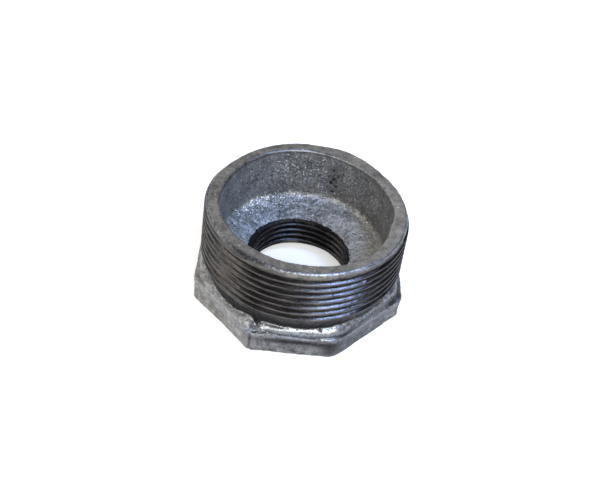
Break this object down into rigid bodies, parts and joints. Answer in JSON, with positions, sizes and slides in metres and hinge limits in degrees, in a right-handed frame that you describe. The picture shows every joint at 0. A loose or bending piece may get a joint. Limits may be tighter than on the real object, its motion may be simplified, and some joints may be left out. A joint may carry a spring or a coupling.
{
  "type": "reducing bush",
  "caption": "Cast reducing bush with an octagonal wrench head, a male taper pipe thread outside and a smaller female pipe thread through its bore.",
  "frame": {"origin": "centre of the head's end face, on the common axis of both threads", "axes": "+Z along the thread axis from the head towards the male end; one wrench flat faces -Y and one faces +X"},
  "size_m": [0.0604, 0.0604, 0.0327],
  "materials": {
    "zinc_coated_iron": "hot-dip galvanised casting, mottled satin grey, with darker machined threads"
  },
  "bodies": {
    "root": {"reducing_bush_body": "zinc_coated_iron"}
  },
  "joints": []
}
